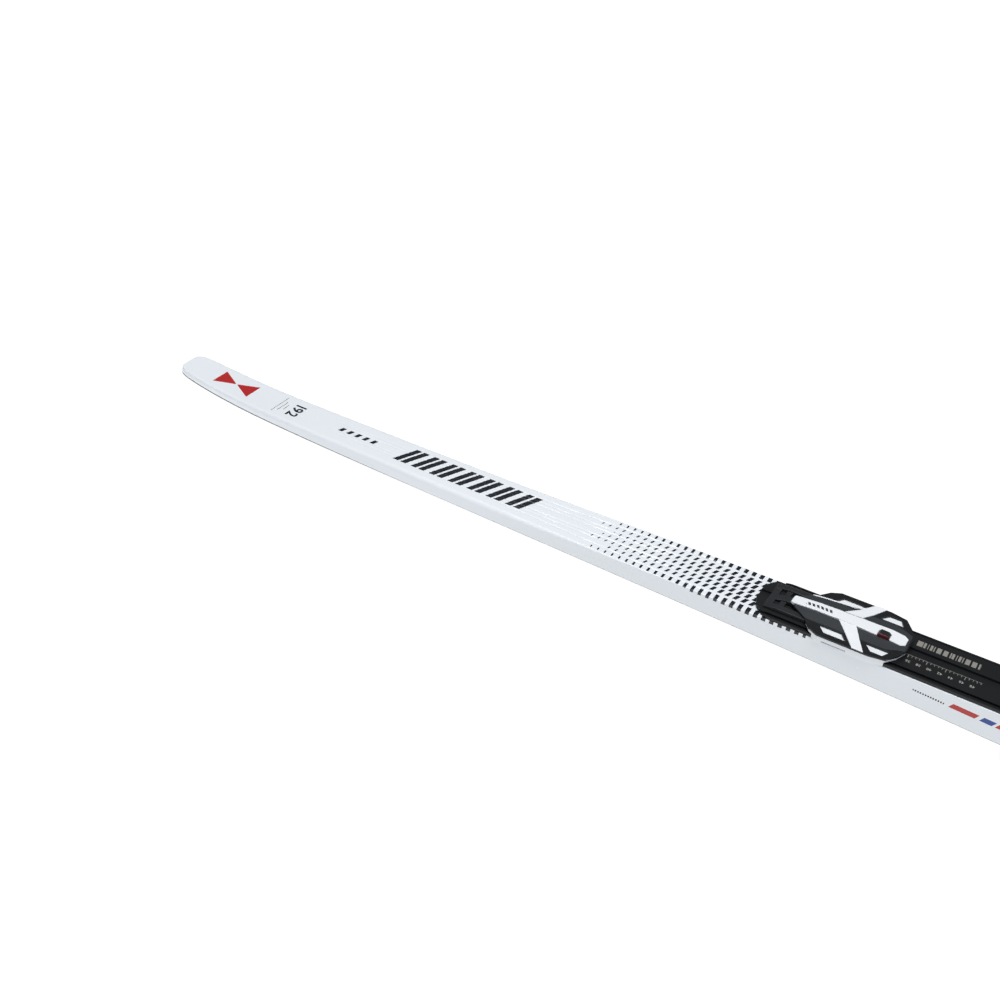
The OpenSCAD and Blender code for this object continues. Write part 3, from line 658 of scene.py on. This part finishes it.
# ---- Toe unit ----
# A white glass-filled housing over a black slide that runs on the plate's rails.
# Behind the toe bar a black guide carries two ridges for the boot's sole, and ahead of the bar
# lies a soft rubber flexor.
white_nylon = moulded("white_nylon", (0.80, 0.825, 0.86), 0.34, 1100, 0.00003, 0.03,
                      Coat_Weight=0.12, Coat_Roughness=0.2)
black_nylon = moulded("black_nylon", (0.014, 0.015, 0.017), 0.36, 1200, 0.00005, 0.4,
                      Specular_IOR_Level=0.4)
rubber = moulded("black_rubber", (0.016, 0.0165, 0.018), 0.62, 1600, 0.00008, 0.3)
rounded("toe_base", "toe_unit", black_nylon, 0.25)
rounded("toe_housing", "toe_unit", white_nylon, 0.45, 3)
rounded("boot_guide", "toe_unit", black_nylon, 0.5, 3)
rounded("flexor", "toe_unit", rubber, 0.5, 3)


# ---- Lever, claw and lock ----
# The cam of the black nylon lever pulls the steel claw over the toe bar as the lever is pressed.
# A sprung white nylon wedge in front holds the unit in the plate's rack.
claw_steel = metal("claw_steel", (0.6, 0.61, 0.63), 0.32, (0.05, 1, 1))
rounded("lever", "lever", black_nylon, 0.4, 3)
rounded("claw", "claw", claw_steel, 0.25)
rounded("toe_lock", "toe_lock", white_nylon, 0.45, 3)


# ---- Heel unit ----
# A white carrier on the plate's rails, a black cover with four windows, a white spine with two
# slanting struts over it, a black tongue behind, and the small button that frees its pawl.
# All are moulded nylon, but the pawl is steel.
cover_nylon = moulded("cover_nylon", (0.02, 0.021, 0.023), 0.34, 1200, 0.00004, 0.4,
                      Specular_IOR_Level=0.4)
x, y, z = cover_nylon.place()
deck = DECK - (KNEE - x) * math.tan(SLOPE)
# The cover's raised facets are a little paler than its rim.
facet = (abs(y) < 13.8) * (z - deck > 8.1)
cover_nylon.set(Base_Color=cover_nylon.mix(facet, (0.009, 0.0095, 0.011), (0.034, 0.037, 0.042)))
button_nylon = moulded("button_nylon", (0.02, 0.018, 0.02), 0.3, 1200, 0.00003, 0.3)
_, y, _ = button_nylon.place()
button_nylon.set(Base_Color=button_nylon.mix(
    y < -4.7, (0.018, 0.016, 0.018), (0.11, 0.012, 0.018)))
spine_nylon = moulded("spine_nylon", (0.82, 0.84, 0.87), 0.3, 1100, 0.00003, 0.03,
                      Coat_Weight=0.15, Coat_Roughness=0.2)
x, y, z = spine_nylon.place()
stroke = (x + y * 0.5 - 614) % 3.1
stamped = x.within(613, 632) * y.within(-1.6, 1.2) * (stroke < 1.9) * (z > 44)
slow = spine_nylon.noise(45, detail=2)
ground = spine_nylon.mix(slow, (0.80, 0.82, 0.85), (0.84, 0.86, 0.89))
spine_nylon.set(Base_Color=spine_nylon.mix(stamped, ground, (0.05, 0.05, 0.06)))
rounded("heel_base", "heel_unit", white_nylon, 0.3)
rounded("heel_cover", "heel_unit", cover_nylon, 0.35, 3)
rounded("heel_spine", "heel_unit", spine_nylon, 0.3, 3)
rounded("heel_tongue", "heel_unit", black_nylon, 0.3)
rounded("heel_button", "heel_button", button_nylon, 0.4, 3)
rounded("heel_pawl", "heel_pawl", claw_steel, 0.2)


def edge_bead():
    """A painted highlight: a white raised strip 1.1 mm wide along the left facet's outer edge,
    where the cover's bevel shows a bright line. A six-sided profile follows points (along, side)
    on the sloping unit, with its foot 0.25 mm inside the cover and its top 0.3 above it, and
    narrows at both ends."""
    path = np.array([(613.5, 11.4), (617, 12.3), (624, 13.5), (633, 14.5), (641, 15.3),
                     (646.5, 16.6), (650, 18.8)])
    t = np.linspace(0, len(path) - 1, 49)
    along, side = (np.interp(t, np.arange(len(path)), path[:, k]) for k in (0, 1))
    facet_top = np.minimum(9.2 - 1.2 * (side - 5.4) / 8.6, 8 + 1.2 * (along - 606) / 16)
    top = np.maximum(8, facet_top)
    step = np.gradient(along), np.gradient(side)
    normal = np.stack([-step[1], step[0]], 1) / np.hypot(*step)[:, None]
    wide = 0.55 * np.clip(np.minimum(t, t[-1] - t) / 0.5, 0.25, 1)
    ring = ((-1, -0.25), (-1, 0.16), (-0.7, 0.3), (0.7, 0.3), (1, 0.16), (1, -0.25))
    s = np.stack([along + normal[:, 0] * wide * a for a, _ in ring], 1)
    y = np.stack([side + normal[:, 1] * wide * a for a, _ in ring], 1)
    w = np.stack([top + b for _, b in ring], 1)
    x = KNEE + (s - KNEE) * math.cos(SLOPE) - w * math.sin(SLOPE) - HALF_LENGTH
    z = DECK + (s - KNEE) * math.sin(SLOPE) + w * math.cos(SLOPE)
    return surface("edge_bead", np.stack([x, y, z], -1) / 1000, ends=True)


# The white strip on the cover facet's edge is a painted highlight of its bevel, not a part of its
# own.
highlight_bead = edge_bead()
outward(highlight_bead)
highlight_bead.data.materials.append(spine_nylon.material)
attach(highlight_bead, "heel_unit")
